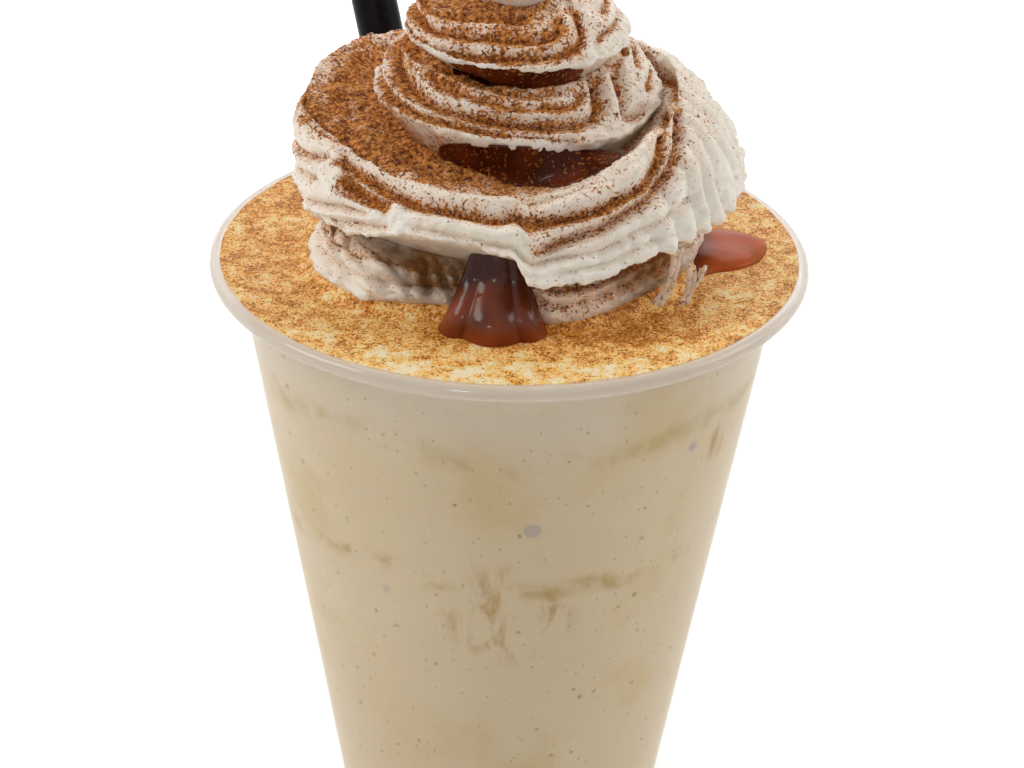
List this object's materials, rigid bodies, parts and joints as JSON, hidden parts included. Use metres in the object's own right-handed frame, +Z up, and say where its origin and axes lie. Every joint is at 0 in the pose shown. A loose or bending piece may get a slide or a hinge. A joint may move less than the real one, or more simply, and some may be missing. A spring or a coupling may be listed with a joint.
{
  "type": "milkshake",
  "caption": "Milkshake filled to the brim of a clear disposable cup, with a piped swirl of whipped cream, cinnamon, caramel sauce and a black straw.",
  "frame": {"origin": "centre of the cup's base, in the plane that it stands on", "axes": "+Z up along the cup's axis; -Y towards the front, where the sauce runs out from under the cream"},
  "size_m": [0.098, 0.1083, 0.1951],
  "materials": {
    "clear_plastic": "clear thermoformed PET, smooth and glossy",
    "milkshake": "thick beige milkshake, its top dusted with cinnamon",
    "whipped_cream": "piped whipped cream, soft satin, dusted with cinnamon",
    "sauce": "glossy caramel and chocolate sauce",
    "black_plastic": "extruded black polypropylene, satin gloss"
  },
  "bodies": {
    "root": {"cup": "clear_plastic", "milkshake": "milkshake", "whipped_cream": "whipped_cream", "sauce_front": "sauce", "sauce_side": "sauce", "sauce_lower_fold": "sauce", "sauce_upper_fold": "sauce", "straw": "black_plastic"}
  },
  "joints": []
}
